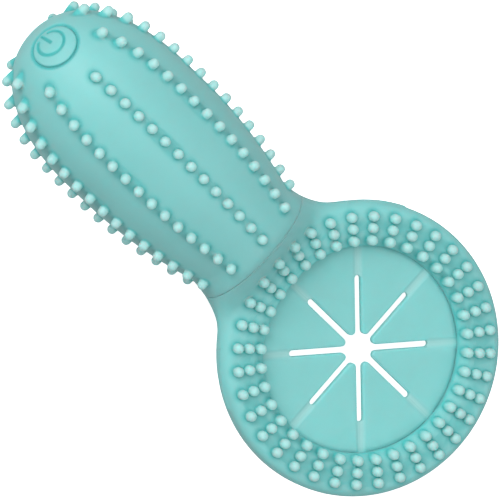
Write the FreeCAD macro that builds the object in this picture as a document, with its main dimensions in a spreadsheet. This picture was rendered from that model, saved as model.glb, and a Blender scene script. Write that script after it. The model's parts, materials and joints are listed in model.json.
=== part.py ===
import FreeCAD, Part

import math
import os

# Hand-held silicone massager: a round barrel with a button in its domed tip, and a flat ring
# closed by a membrane that eight slits cut into petals.
#
# Frame: +X runs from the ring to the tip of the barrel, +Z is the button side.  The origin is
# the middle of the bounding box, on the barrel's axis.  Shapes are drawn from the centre of the
# ring and moved by `ring_x`, which is negative.

Vector = FreeCAD.Vector
X_AXIS = Vector(1, 0, 0)
Y_AXIS = Vector(0, 1, 0)
Z_AXIS = Vector(0, 0, 1)
CENTRE = Vector(0, 0, 0)

os.makedirs("parts", exist_ok=True)
doc = FreeCAD.newDocument("massager")

# ---------------------------------------------------------------- driving dimensions (mm, degrees)

DIMENSIONS = {
    # barrel
    "barrel_rad": 16.3, "wide_x": 60.0, "dome_x": 65.6, "dome_len": 26.0, "dome_power": 2.25,
    "waist_x": 33.0, "waist_rad": 12.3, "waist_power": 1.9,
    "skin": 2.6, "shell_wall": 1.6,
    # neck between barrel and ring
    "seam_x": 30.5, "neck_x": 31.5, "neck_fillet": 9.7, "slope_end": 21.5, "slope_start": 30.5,
    "neck_low": 2.8, "tail_x": 35.0, "plug_rad": 9.2, "plug_len": 4.3,
    "stem_rad": 3.9, "stem_x": 27.0, "stem_len": 10.6, "flange_rad": 5.4, "flange_len": 0.8,
    "paddle_x": 23.6, "paddle_len": 6.0, "paddle_wide": 17.0, "paddle_high": 3.6,
    "paddle_corner": 2.5, "paddle_hole_rad": 1.3, "paddle_hole_x": 26.4, "paddle_hole_y": 5.6,
    "seal_rad": 5.4, "seal_x": 33.7, "seal_len": 1.2,
    # ring and membrane
    "ring_rad": 29.0, "bore_rad": 20.4, "ring_top": 2.6, "ring_base": -3.4, "rim_round": 2.2,
    "bore_high": 1.2, "mouth_rad": 22.8, "film": 1.4, "hinge_rad": 13.2, "hinge_gap": 0.3,
    "slit_half": 0.6, "petal_tip": 0.9, "channel_half": 1.15, "channel_deep": 0.35, "petals": 8,
    # pegs
    "ring_peg": 0.98, "ring_peg_high": 2.0, "ring_columns": 36, "ring_row_a": 21.6,
    "ring_row_b": 24.0, "ring_row_c": 26.3,
    "peg_rad": 0.95, "peg_first": 34.6, "peg_pitch": 3.593, "peg_centre": 0.8,
    "peg_extra": 0.7, "peg_grow": 70.0, "barrel_rows": 10,
    # button
    "button_x": 89.6, "button_tilt": 44.0, "button_rad": 4.45, "button_hole": 4.95,
    "pad_skin": 1.8, "key_rad": 4.0, "key_hole": 4.2, "key_head": 4.6, "key_stem": 1.5,
    "plunger_rad": 1.2, "plunger_top": 5.6, "plunger_foot": 6.7, "switch_side": 5.2,
    "switch_high": 2.0, "button_board_rad": 5.0, "button_board": 1.0, "lamp_y": 3.0,
    "lamp_long": 1.6, "lamp_wide": 0.8, "lamp_high": 0.7,
    # capsule
    "core_start": 35.0, "screw_a_x": 41.3, "screw_a_y": 7.2, "screw_b_x": 56.2, "screw_b_y": 9.6,
    "boss_rad": 1.9, "screw_rad": 0.9, "screw_head": 1.7, "screw_seat": -5.5, "screw_len": 9.0,
    # motor
    "motor_x": 43.5, "motor_len": 11.5, "motor_rad": 6.0, "motor_wall": 0.5, "shaft_rad": 0.75,
    "weight_x": 38.4, "weight_len": 3.8, "weight_rad": 4.8, "cradle_rad": 7.4,
    # battery and boards
    "cell_x": 58.4, "cell_len": 18.6, "cell_wide": 16.0, "cell_high": 6.0, "cell_z": -5.6,
    "foam": 0.8, "board": 0.8, "board_z": 4.0, "board_wide": 17.0, "board_len": 18.0,
    # charging socket on the underside of the dome
    "port_x": 85.2, "port_tilt": -57.0, "port_rad": 2.2, "jack_rad": 2.5, "jack_len": 5.4,
    "jack_bore": 1.27, "jack_depth": 4.6,
    # whole object: the ring's centre in the part's own frame
    "ring_x": -31.3,
}

sheet = doc.addObject("Spreadsheet::Sheet", "Sizes")
for row, (alias, value) in enumerate(DIMENSIONS.items(), start=1):
    sheet.set("A%d" % row, alias)
    sheet.set("B%d" % row, str(value))
    sheet.setAlias("B%d" % row, alias)
doc.recompute()


def size(alias):
    """Read one driving dimension from the sheet."""
    return float(sheet.get(alias))


nodes = []


def node(obj, label):
    """Give an object the name of its sub-part, and list it for checking and export."""
    obj.Label = label
    nodes.append(obj)
    return obj


def solid_node(label, shape):
    """A sub-part drawn from the ring's centre by Part's own functions, set in its place."""
    feature = doc.addObject("Part::Feature", label)
    feature.Shape = shape
    moved = FreeCAD.Placement(Vector(size("ring_x"), 0, 0), FreeCAD.Rotation())
    feature.Placement = moved * shape.Placement
    return node(feature, label)


def bind(obj, **expressions):
    """Bind properties to expressions; a_b stands for the property path a.b."""
    for path, expression in expressions.items():
        name = path.replace("_", ".")
        obj.setExpression(name, expression)
    return obj


def at(obj, x, y="0", z="0"):
    """Bind a primitive's place, measured from the ring's centre."""
    obj.setExpression("Placement.Base.x", "Sizes.ring_x + (%s)" % x)
    obj.setExpression("Placement.Base.y", y)
    obj.setExpression("Placement.Base.z", z)
    return obj


ALONG_X = FreeCAD.Rotation(Y_AXIS, 90)


def rod(name, radius, length, x, y="0", z="0", along_x=True):
    """A cylinder that starts at (x, y, z) and runs along +X, or along +Z."""
    obj = doc.addObject("Part::Cylinder", name)
    if along_x:
        obj.Placement = FreeCAD.Placement(CENTRE, ALONG_X)
    bind(obj, Radius=radius, Height=length)
    return at(obj, x, y, z)


def block(name, length, width, height, x, y, z):
    """A box whose lowest corner is (x, y, z)."""
    obj = doc.addObject("Part::Box", name)
    bind(obj, Length=length, Width=width, Height=height)
    return at(obj, x, y, z)


def cut(name, base, tool):
    obj = doc.addObject("Part::Cut", name)
    obj.Base = base
    obj.Tool = tool
    return obj


def fuse(name, *parts):
    obj = doc.addObject("Part::MultiFuse", name)
    obj.Shapes = list(parts)
    return obj


# ---------------------------------------------------------------- barrel profile


def barrel_radius(x):
    """Outer radius of the barrel's skin at x."""
    top = size("barrel_rad")
    x = max(x, size("tail_x"))
    if x > size("dome_x"):
        u = min((x - size("dome_x")) / size("dome_len"), 1.0)
        return top * (1.0 - u ** size("dome_power")) ** (1.0 / size("dome_power"))
    if x < size("wide_x"):
        u = (size("wide_x") - x) / (size("wide_x") - size("waist_x"))
        return top - (top - size("waist_rad")) * u ** size("waist_power")
    return top


# The surface's own seam lies between two rows of pegs, where nothing crosses it.
SEAM_TURN = 180.0 / size("barrel_rows")


def barrel_solid(start, inset):
    """Round body from x = start to the tip, with the skin's surface moved in by `inset`."""
    points = []
    steps = 7
    for i in range(steps):
        x = start + (size("wide_x") - start) * i / (steps - 1)
        points.append(Vector(x, 0, barrel_radius(x) - inset))
    power = 2.0 / size("dome_power")
    turns = 10
    for i in range(turns + 1):
        angle = 0.5 * math.pi * i / turns
        x = size("dome_x") + (size("dome_len") - inset) * math.sin(angle) ** power
        z = (size("barrel_rad") - inset) * max(math.cos(angle), 0.0) ** power
        points.append(Vector(x, 0, z if i < turns else 0.0))
    curve = Part.BSplineCurve()
    curve.interpolate(points)
    tip = points[-1]
    foot = Vector(start, 0, 0)
    wire = Part.Wire([curve.toShape(), Part.makeLine(tip, foot), Part.makeLine(foot, points[0])])
    body = Part.Face(wire).revolve(CENTRE, X_AXIS, 360)
    body.rotate(CENTRE, X_AXIS, SEAM_TURN)
    return body


# ---------------------------------------------------------------- neck


# An oval's two axes may not be equal, so the neck's roundest one is this share of a circle.
NEARLY_ROUND = 0.999
# Where the neck runs into the ring, it stays this far inside the ring's outline.
NECK_INSIDE = 0.3


def fillet_end():
    """Where the neck's fillet meets the ring, in plan."""
    return size("neck_x") * size("ring_rad") / (size("ring_rad") + size("neck_fillet"))


def neck_half_width(x):
    """Concave fillet, in plan, from the waist of the barrel to the ring."""
    waist = barrel_radius(size("neck_x"))
    if x >= size("seam_x"):
        return waist
    if x < fillet_end():
        return math.sqrt(size("ring_rad") ** 2 - x ** 2) - NECK_INSIDE
    fillet = size("neck_fillet")
    return waist + fillet - math.sqrt(max(fillet ** 2 - (size("neck_x") - x) ** 2, 0.0))


def neck_half_height(x):
    """The neck falls from the barrel's height to just above the ring in a smooth step."""
    u = (x - size("slope_end")) / (size("slope_start") - size("slope_end"))
    u = min(max(u, 0.0), 1.0)
    step = u * u * (3.0 - 2.0 * u)
    high = barrel_radius(size("seam_x"))
    return size("neck_low") + (high - size("neck_low")) * step


def neck_section(x):
    """Oval across the neck, its long axis along Y."""
    half_width = neck_half_width(x)
    half_height = min(neck_half_height(x), NEARLY_ROUND * half_width)
    oval = Part.Ellipse(Vector(x, half_width, 0), Vector(x, 0, half_height), Vector(x, 0, 0))
    return Part.Wire(oval.toShape())


def neck_surface(x, y):
    """Height of the neck's upper surface over the point (x, y)."""
    half_width = neck_half_width(x)
    if abs(y) >= half_width:
        return 0.0
    return neck_half_height(x) * math.sqrt(1.0 - (y / half_width) ** 2)


def neck_solid():
    """Loft of ovals from inside the ring to the round end of the barrel."""
    first = size("slope_end") - 1.0
    gap = size("seam_x") - first
    stations = [first + gap * i / 6.0 for i in range(7)]
    return Part.makeLoft([neck_section(x) for x in stations], True, False)


# ---------------------------------------------------------------- directions on the dome


def tilted(angle):
    """Direction in the XZ plane, `angle` degrees above +X."""
    return Vector(math.cos(math.radians(angle)), 0, math.sin(math.radians(angle)))


BUTTON_DIR = tilted(size("button_tilt"))
BUTTON_TOP = Vector(size("button_x"), 0, barrel_radius(size("button_x")))
PORT_DIR = tilted(size("port_tilt"))
PORT_TOP = Vector(size("port_x"), 0, -barrel_radius(size("port_x")))


def bar_along(top, direction, radius, start, length):
    """Cylinder on an axis through `top`: it starts `start` below the top and runs inwards."""
    base = top - direction * start
    return Part.makeCylinder(radius, length, base, -direction)


def peg(foot, direction, radius, length):
    """Round-ended peg: a cylinder from `foot` with a half ball on its end."""
    stem = Part.makeCylinder(radius, length, foot, direction)
    ball = Part.makeSphere(radius, foot + direction * length)
    return stem.fuse(ball)


# ---------------------------------------------------------------- silicone skin


def peg_counts():
    """Pegs in each row, from the button's own meridian round the barrel."""
    counts = []
    for row_index in range(int(size("barrel_rows"))):
        steps = min(row_index, int(size("barrel_rows")) - row_index)
        counts.append((14, 15, 16, 16, 16, 13)[steps])
    return counts


def barrel_pegs():
    """Rows of pegs square to the barrel's axis; they stand a little taller on the dome."""
    pegs = []
    for row_index, count in enumerate(peg_counts()):
        angle = 2.0 * math.pi * row_index / size("barrel_rows")
        out = Vector(0, math.sin(angle), math.cos(angle))
        for i in range(count):
            x = size("peg_first") + size("peg_pitch") * i
            surface = barrel_radius(x)
            grow = max(x - size("peg_grow"), 0.0) / (size("button_x") - size("peg_grow"))
            centre = surface + size("peg_centre") + size("peg_extra") * grow
            foot = surface - 0.6 * size("skin")
            pegs.append(peg(Vector(x, 0, 0) + out * foot, out, size("peg_rad"), centre - foot))
    return pegs


def core_space():
    """Room inside the sleeve: the capsule, and the plug of the ring behind it."""
    capsule = barrel_solid(size("core_start"), size("skin"))
    plug_hole = Part.makeCylinder(size("plug_rad") + 0.05, size("core_start") - size("seam_x"),
                                  Vector(size("seam_x"), 0, 0), X_AXIS)
    return capsule.fuse(plug_hole)


def make_sleeve():
    skin = barrel_solid(size("seam_x"), 0.0).fuse(barrel_pegs())
    skin = skin.cut(core_space())
    skin = skin.cut(bar_along(BUTTON_TOP, BUTTON_DIR, size("button_hole"), -6.0, 14.0))
    return skin.cut(bar_along(PORT_TOP, PORT_DIR, size("port_rad"), -3.0, 9.0))


solid_node("barrel_sleeve", make_sleeve())

# ---------------------------------------------------------------- ring and membrane


def ring_disc():
    """Round ring with a rounded outer edge and a mouth that slopes down to the bore."""
    low = size("ring_base")
    high = size("ring_top")
    disc = Part.makeCylinder(size("ring_rad"), high - low, Vector(0, 0, low), Z_AXIS)
    rims = [edge for edge in disc.Edges if abs(edge.BoundBox.ZLength) < 0.01]
    disc = disc.makeFillet(size("rim_round"), rims)
    mouth = Part.makeCone(size("bore_rad"), size("mouth_rad"), high - size("bore_high"),
                          Vector(0, 0, size("bore_high")), Z_AXIS)
    return disc.cut(mouth).fuse(neck_solid())


def octagon(apothem, low, high):
    """Eight-sided prism whose corners lie on the slits."""
    count = int(size("petals"))
    corner = apothem / math.cos(math.pi / count)
    points = []
    for i in range(count + 1):
        angle = 2.0 * math.pi * i / count
        points.append(Vector(corner * math.cos(angle), corner * math.sin(angle), low))
    return Part.Face(Part.makePolygon(points)).extrude(Vector(0, 0, high - low))


def membrane_rim():
    """Fixed outer part of the membrane, with a channel in line with each slit."""
    outside = size("bore_rad") + 0.5
    rim = Part.makeCylinder(outside, size("film"), Vector(0, 0, -size("film")), Z_AXIS)
    gap = size("hinge_rad") + 0.5 * size("film") + size("hinge_gap")
    rim = rim.cut(octagon(gap, -size("film") - 1.0, 1.0))
    half = size("channel_half")
    for i in range(int(size("petals"))):
        channel = Part.makeBox(size("bore_rad") - size("hinge_rad"), 2.0 * half,
                               size("channel_deep") + 1.0,
                               Vector(size("hinge_rad"), -half, -size("channel_deep")))
        channel.rotate(CENTRE, Z_AXIS, 360.0 * i / size("petals"))
        rim = rim.cut(channel)
    return rim


def ring_pegs():
    """Three circles of pegs, in columns, parallel to the ring's axis."""
    pegs = []
    for radius in (size("ring_row_a"), size("ring_row_b"), size("ring_row_c")):
        for column in range(int(size("ring_columns"))):
            angle = 2.0 * math.pi * column / size("ring_columns")
            x = radius * math.cos(angle)
            y = radius * math.sin(angle)
            surface = max(size("ring_top"), neck_surface(x, y) if x > size("slope_end") else 0.0)
            foot = size("bore_high")
            length = surface - foot + size("ring_peg_high") - size("ring_peg")
            pegs.append(peg(Vector(x, y, foot), Z_AXIS, size("ring_peg"), length))
    return pegs


def anchor_solid():
    """Tail of the capsule: a stem with a flat paddle that the neck is moulded round."""
    stem = Part.makeCylinder(size("stem_rad"), size("stem_len"),
                             Vector(size("stem_x"), 0, 0), X_AXIS)
    flange_x = size("stem_x") + size("stem_len") - size("flange_len")
    flange = Part.makeCylinder(size("flange_rad"), size("flange_len"),
                               Vector(flange_x, 0, 0), X_AXIS)
    corner = Vector(size("paddle_x"), -0.5 * size("paddle_wide"), -0.5 * size("paddle_high"))
    paddle = Part.makeBox(size("paddle_len"), size("paddle_wide"), size("paddle_high"), corner)
    edges = [edge for edge in paddle.Edges if edge.BoundBox.ZLength > 0.5 * size("paddle_high")]
    paddle = paddle.makeFillet(size("paddle_corner"), edges)
    tail = stem.fuse([flange, paddle])
    for side in (-1, 1):
        foot = Vector(size("paddle_hole_x"), side * size("paddle_hole_y"), -size("paddle_high"))
        hole = Part.makeCylinder(size("paddle_hole_rad"), 2.0 * size("paddle_high"), foot, Z_AXIS)
        tail = tail.cut(hole)
    return tail


def seal_ring():
    """Square-section sealing ring round the stem, behind the capsule."""
    foot = Vector(size("seal_x"), 0, 0)
    outer = Part.makeCylinder(size("seal_rad"), size("seal_len"), foot, X_AXIS)
    return outer.cut(Part.makeCylinder(size("stem_rad"), size("seal_len"), foot, X_AXIS))


def make_ring_body():
    body = ring_disc()
    plug = Part.makeCylinder(size("plug_rad"), size("plug_len") + 0.1,
                             Vector(size("seam_x"), 0, 0), X_AXIS)
    body = body.fuse(plug)
    body = body.cut(Part.makeCylinder(size("bore_rad"), 30.0, Vector(0, 0, -15.0), Z_AXIS))
    body = body.fuse([membrane_rim()] + ring_pegs())
    return body.cut([anchor_solid(), seal_ring()])


solid_node("ring_body", make_ring_body())


def petal_outline():
    """Tongue between two slits, pointing at the centre, drawn along +X at mid thickness."""
    half_angle = math.pi / size("petals")
    root = size("hinge_rad")
    tip_x = (size("slit_half") + size("petal_tip")) / math.sin(half_angle)
    root_y = root * math.tan(half_angle) - size("slit_half") / math.cos(half_angle)
    touch = Vector(tip_x - size("petal_tip") * math.sin(half_angle),
                   size("petal_tip") * math.cos(half_angle), 0)
    mirror = Vector(touch.x, -touch.y, 0)
    corner = Vector(root, root_y, 0)
    far = Vector(root, -root_y, 0)
    nose = Part.Arc(mirror, Vector(tip_x - size("petal_tip"), 0, 0), touch)
    return Part.Wire([nose.toShape(), Part.makeLine(touch, corner),
                      Part.makeLine(corner, far), Part.makeLine(far, mirror)]), root_y


def make_petal(index):
    wire, root_y = petal_outline()
    petal = Part.Face(wire).extrude(Vector(0, 0, size("film")))
    petal.translate(Vector(0, 0, -size("film")))
    root = Part.makeCylinder(0.5 * size("film"), 2.0 * root_y,
                             Vector(size("hinge_rad"), -root_y, -0.5 * size("film")), Y_AXIS)
    petal = petal.fuse(root).removeSplitter()
    petal.rotate(CENTRE, Z_AXIS, 360.0 * (index + 0.5) / size("petals"))
    return petal


for petal_index in range(int(size("petals"))):
    solid_node("petal_%d" % (petal_index + 1), make_petal(petal_index))

solid_node("neck_anchor", anchor_solid())
solid_node("stem_seal", seal_ring())

# ---------------------------------------------------------------- button


def inside_dome(inset):
    """Dome end of the barrel, with its surface moved in by `inset`."""
    return barrel_solid(size("wide_x") - 6.0, inset)


def make_button_pad():
    """Soft area inside the moulded circle, which the thumb presses."""
    wall = inside_dome(0.0).cut(inside_dome(size("pad_skin")))
    return wall.common(bar_along(BUTTON_TOP, BUTTON_DIR, size("button_rad"), -6.0, 14.0))


def on_button(radius, start, length):
    """Cylinder on the button's axis, from a depth of `start` below its top."""
    return bar_along(BUTTON_TOP, BUTTON_DIR, radius, start, length)


def make_button_actuator():
    """Hard key under the pad: a round head, and a stem that reaches the switch."""
    clear = 6.0
    head = on_button(size("key_rad"), -clear, clear + size("key_head"))
    head = head.common(inside_dome(size("pad_skin")))
    joined = 0.5
    reach = size("plunger_top") - size("key_head") + joined
    return head.fuse(on_button(size("key_stem"), size("key_head") - joined, reach))


def box_on_axis(length, width, height, side_step, depth):
    """Box square to the button's axis: its top is `depth` below the button's top."""
    corner = Vector(-0.5 * length, side_step - 0.5 * width, -depth - height)
    box = Part.makeBox(length, width, height, corner)
    box.rotate(CENTRE, Y_AXIS, 90.0 - size("button_tilt"))
    box.translate(BUTTON_TOP)
    return box


def make_switch_body():
    """Tactile switch: a square case with a round well that its plunger slides in."""
    well = size("plunger_foot") + size("switch_high") - 1.2
    case_top = size("plunger_foot") - 0.6
    case = box_on_axis(size("switch_side"), size("switch_side"), size("switch_high") + 0.6,
                       0.0, case_top)
    return case.cut(on_button(size("plunger_rad") + 0.05, size("plunger_top"),
                              well - size("plunger_top")))


def make_switch_plunger():
    return on_button(size("plunger_rad"), size("plunger_top"), 1.2)


def make_button_board():
    return on_button(size("button_board_rad"), size("plunger_foot") + size("switch_high"),
                     size("button_board"))


def make_status_led():
    """Light beside the switch, which glows through the silicone."""
    board_top = size("plunger_foot") + size("switch_high")
    return box_on_axis(size("lamp_wide"), size("lamp_long"), size("lamp_high"),
                       size("lamp_y") + 0.5 * size("lamp_long"), board_top - size("lamp_high"))


solid_node("button_pad", make_button_pad())
solid_node("button_actuator", make_button_actuator())
solid_node("switch_plunger", make_switch_plunger())
solid_node("switch_body", make_switch_body())
solid_node("button_board", make_button_board())
solid_node("status_led", make_status_led())

# ---------------------------------------------------------------- charging socket


def make_charge_jack():
    """Round socket with a plain bore, square to the dome's underside."""
    start = size("skin") + 0.5
    jack = bar_along(PORT_TOP, PORT_DIR, size("jack_rad"), start, size("jack_len") + 1.1)
    return jack.cut(bar_along(PORT_TOP, PORT_DIR, size("jack_bore"), start - 1.0,
                              size("jack_depth") + 1.0))


solid_node("charge_jack", make_charge_jack())

# ---------------------------------------------------------------- capsule


def screw_places():
    """The four screws, as (x, y)."""
    places = []
    for side in (-1, 1):
        places.append((size("screw_a_x"), size("screw_a_y") * side))
        places.append((size("screw_b_x"), size("screw_b_y") * side))
    return places


def capsule_wall():
    """Both shells as one: the wall, the end wall and two collars that hold the motor."""
    wall = barrel_solid(size("core_start"), size("skin"))
    inner = size("skin") + size("shell_wall")
    wall = wall.cut(barrel_solid(size("core_start") + size("shell_wall"), inner))
    for x in (size("motor_x") + 1.2, size("motor_x") + size("motor_len") - 2.4):
        collar = Part.makeCylinder(barrel_radius(x) - size("skin") - 0.5, 1.2, Vector(x, 0, 0), X_AXIS)
        hole = Part.makeCylinder(size("cradle_rad"), 1.2, Vector(x, 0, 0), X_AXIS)
        wall = wall.fuse(collar.cut(hole))
    for x, y in screw_places():
        reach = barrel_radius(x) - size("skin") - 0.5
        height = math.sqrt(reach ** 2 - (abs(y) + size("boss_rad")) ** 2)
        boss = Part.makeCylinder(size("boss_rad"), 2.0 * height, Vector(x, y, -height), Z_AXIS)
        wall = wall.fuse(boss)
    stem_hole = Part.makeCylinder(3.9, 10.0, Vector(size("core_start") - 4.0, 0, 0), X_AXIS)
    wall = wall.cut([stem_hole, bar_along(PORT_TOP, PORT_DIR, size("jack_rad"), -2.0, 9.0)])
    wall = wall.cut(bar_along(BUTTON_TOP, BUTTON_DIR, size("key_hole"), -6.0, 12.6))
    return wall.cut(screw_holes())


def screw_holes():
    """Pilot holes above the split, clearance holes and head recesses below it."""
    tools = []
    for x, y in screw_places():
        seat = size("screw_seat")
        tools.append(Part.makeCylinder(size("screw_rad"), size("screw_len") + seat,
                                       Vector(x, y, 0), Z_AXIS))
        tools.append(Part.makeCylinder(size("screw_rad") + 0.1, -seat, Vector(x, y, seat), Z_AXIS))
        tools.append(Part.makeCylinder(size("screw_head") + 0.15, 12.0,
                                       Vector(x, y, seat - 12.0), Z_AXIS))
    return tools


def half(side):
    """Half space above (+1) or below (-1) the split."""
    reach = 120.0
    low = 0.0 if side > 0 else -reach
    return Part.makeBox(reach, reach, reach, Vector(0, -0.5 * reach, low))


WALL = capsule_wall()
solid_node("core_upper_shell", WALL.common(half(1)))
solid_node("core_lower_shell", WALL.common(half(-1)))


def make_screws():
    """Four self-tapping screws with pan heads, put in from below."""
    screws = []
    for x, y in screw_places():
        seat = size("screw_seat")
        shank = Part.makeCylinder(size("screw_rad"), size("screw_len"), Vector(x, y, seat), Z_AXIS)
        head = Part.makeCylinder(size("screw_head"), 1.2, Vector(x, y, seat - 1.2), Z_AXIS)
        slot = Part.makeBox(0.5, 2.2, 0.6, Vector(x - 0.25, y - 1.1, seat - 1.2))
        cross = Part.makeBox(2.2, 0.5, 0.6, Vector(x - 1.1, y - 0.25, seat - 1.2))
        screws.append(shank.fuse(head).cut([slot, cross]))
    return Part.makeCompound(screws)


solid_node("housing_screws", make_screws())

# ---------------------------------------------------------------- motor

MOTOR_END = "Sizes.motor_x + Sizes.motor_len"

can_outer = rod("can_outer", "Sizes.motor_rad", "Sizes.motor_len - 1.2", "Sizes.motor_x")
can_inner = rod("can_inner", "Sizes.motor_rad - Sizes.motor_wall", "Sizes.motor_len",
                "Sizes.motor_x + Sizes.motor_wall")
can_hollow = cut("can_hollow", can_outer, can_inner)
can_mouth = rod("can_mouth", "2.0", "2", "Sizes.motor_x - 1")
node(cut("motor_can", can_hollow, can_mouth), "motor_can")

magnet_outer = rod("magnet_outer", "Sizes.motor_rad - Sizes.motor_wall", "6.4",
                   "Sizes.motor_x + 1.8")
magnet_inner = rod("magnet_inner", "4.3", "8", "Sizes.motor_x + 1.2")
magnet_tube = cut("magnet_tube", magnet_outer, magnet_inner)
magnet_gap = block("magnet_gap", "8", "14", "2.4", "Sizes.motor_x + 1.2", "-7", "-1.2")
node(cut("motor_magnets", magnet_tube, magnet_gap), "motor_magnets")

cap_disc = rod("cap_disc", "Sizes.motor_rad", "1.2", MOTOR_END + " - 1.2")
cap_hole = rod("cap_hole", "1.5", "4", MOTOR_END + " - 3")
node(cut("motor_end_cap", cap_disc, cap_hole), "motor_end_cap")

front_bush = rod("front_bush", "2.0", "1.6", "Sizes.motor_x - 0.4")
rear_bush = rod("rear_bush", "1.5", "1.6", MOTOR_END + " - 1.8")
bush_pair = fuse("bush_pair", front_bush, rear_bush)
bush_hole = rod("bush_hole", "Sizes.shaft_rad + 0.05", "30", "Sizes.motor_x - 5")
node(cut("motor_bushes", bush_pair, bush_hole), "motor_bushes")

node(rod("motor_shaft", "Sizes.shaft_rad", "Sizes.motor_len + 5.2", "Sizes.weight_x - 0.3"), "motor_shaft")

rotor_core = rod("rotor_core", "3.9", "5.6", "Sizes.motor_x + 2.3")
rotor_collar = rod("rotor_collar", "1.6", "1.1", "Sizes.motor_x + 7.9")
rotor_solid = fuse("rotor_solid", rotor_core, rotor_collar)
rotor_hole = rod("rotor_hole", "Sizes.shaft_rad", "30", "Sizes.motor_x - 5")
node(cut("motor_rotor", rotor_solid, rotor_hole), "motor_rotor")

# The weight is a half disc with a hub, padded from a sketch on its body's YZ plane.
weight_body = doc.addObject("PartDesign::Body", "eccentric_weight")
weight_sketch = weight_body.newObject("Sketcher::SketchObject", "weight_sketch")
yz_plane = [f for f in weight_body.Origin.OriginFeatures if f.Role == "YZ_Plane"][0]
weight_sketch.AttachmentSupport = (yz_plane, [""])
weight_sketch.MapMode = "FlatFace"
hub = 1.7
rim = size("weight_rad")
flat = math.sqrt(rim ** 2 - hub ** 2)
hub_arc = Part.Arc(Vector(-hub, 0, 0), Vector(0, hub, 0), Vector(hub, 0, 0))
low_arc = Part.Arc(Vector(-rim, 0, 0), Vector(0, -rim, 0), Vector(rim, 0, 0))
weight_sketch.addGeometry(hub_arc, False)
weight_sketch.addGeometry(Part.LineSegment(Vector(hub, 0, 0), Vector(rim, 0, 0)), False)
weight_sketch.addGeometry(low_arc, False)
weight_sketch.addGeometry(Part.LineSegment(Vector(-rim, 0, 0), Vector(-hub, 0, 0)), False)
weight_sketch.addGeometry(Part.Circle(CENTRE, Z_AXIS, size("shaft_rad")), False)
doc.recompute()
weight_pad = weight_body.newObject("PartDesign::Pad", "weight_pad")
weight_pad.Profile = weight_sketch
weight_pad.setExpression("Length", "Sizes.weight_len")
weight_body.setExpression("Placement.Base.x", "Sizes.ring_x + Sizes.weight_x")
node(weight_body, "eccentric_weight")

boot_outer = rod("boot_outer", "Sizes.cradle_rad", "Sizes.motor_len - 1.6", "Sizes.motor_x + 0.8")
boot_inner = rod("boot_inner", "Sizes.motor_rad", "Sizes.motor_len + 4", "Sizes.motor_x - 2")
node(cut("motor_cradle", boot_outer, boot_inner), "motor_cradle")

# ---------------------------------------------------------------- battery and main board

cell_box = block("cell_box", "Sizes.cell_len", "Sizes.cell_wide", "Sizes.cell_high",
                 "Sizes.cell_x", "-Sizes.cell_wide / 2", "Sizes.cell_z")
doc.recompute()
cell_round = doc.addObject("Part::Fillet", "battery_cell")
cell_round.Base = cell_box
long_edges = [i + 1 for i, edge in enumerate(cell_box.Shape.Edges) if edge.BoundBox.XLength > 5.0]
cell_round.Edges = [(i, 2.0, 2.0) for i in long_edges]
node(cell_round, "battery_cell")

node(block("battery_foam", "Sizes.cell_len - 4", "Sizes.cell_wide - 5", "Sizes.foam",
           "Sizes.cell_x + 2", "-(Sizes.cell_wide - 5) / 2", "Sizes.cell_z + Sizes.cell_high"),
     "battery_foam")

board_plate = block("board_plate", "Sizes.board_len", "Sizes.board_wide", "Sizes.board",
                    "Sizes.cell_x", "-Sizes.board_wide / 2", "Sizes.board_z")
board_hole_a = rod("board_hole_a", "0.9", "4", "Sizes.cell_x + 2", "6.6", "Sizes.board_z - 2", False)
board_hole_b = rod("board_hole_b", "0.9", "4", "Sizes.cell_x + 2", "-6.6", "Sizes.board_z - 2", False)
board_holes = fuse("board_holes", board_hole_a, board_hole_b)
node(cut("main_board", board_plate, board_holes), "main_board")

node(block("control_chip", "4.9", "3.9", "1.4", "Sizes.cell_x + 9", "-1.95",
           "Sizes.board_z + Sizes.board"), "control_chip")
node(block("charge_chip", "2.9", "1.6", "1.1", "Sizes.cell_x + 3.4", "-0.8",
           "Sizes.board_z + Sizes.board"), "charge_chip")

# ---------------------------------------------------------------- leads

LEAD = 0.4


def lead(points):
    """Insulated wire along straight runs, with an arc at each corner."""
    edges = []
    start = points[0]
    for before, corner, after in zip(points, points[1:], points[2:]):
        arriving = (corner - before).normalize()
        leaving = (after - corner).normalize()
        bend = 0.4 * min((corner - before).Length, (after - corner).Length)
        enter = corner - arriving * bend
        leave = corner + leaving * bend
        inward = (leaving - arriving).normalize()
        middle = corner + inward * bend * (math.sqrt(2.0) - 1.0)
        edges.append(Part.makeLine(start, enter))
        edges.append(Part.Arc(enter, middle, leave).toShape())
        start = leave
    edges.append(Part.makeLine(start, points[-1]))
    ring = Part.Wire(Part.Circle(points[0], points[1] - points[0], LEAD).toShape())
    return Part.Wire(edges).makePipeShell([ring], True, False)


def lead_pair(points):
    """Two leads, mirrored about the middle plane."""
    left = [Vector(p.x, -p.y, p.z) for p in points]
    return Part.makeCompound([lead(points), lead(left)])


MOTOR_LEAD = [Vector(55.0, 3.6, 1.0), Vector(56.6, 3.6, 1.0), Vector(56.6, 3.6, 4.4),
              Vector(58.4, 3.6, 4.4)]
CELL_LEAD = [Vector(58.4, 5.0, -2.6), Vector(57.0, 5.0, -2.6), Vector(57.0, 5.0, 4.4),
             Vector(58.4, 5.0, 4.4)]
solid_node("motor_leads", lead_pair(MOTOR_LEAD))
solid_node("battery_leads", lead_pair(CELL_LEAD))

# ---------------------------------------------------------------- check and write

doc.recompute()
for obj in doc.Objects:
    if "Invalid" in obj.State or "Error" in obj.State:
        raise RuntimeError("%s failed: %s" % (obj.Name, obj.State))
for obj in nodes:
    if obj.Shape.isNull() or not obj.Shape.isValid() or not obj.Shape.Solids:
        raise RuntimeError("%s has no valid solid" % obj.Label)
for obj in nodes:
    obj.Shape.exportStep("parts/%s.step" % obj.Label)
    print("%-18s solids %d volume %9.2f" % (obj.Label, len(obj.Shape.Solids), obj.Shape.Volume))
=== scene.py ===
import json
import math

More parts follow.
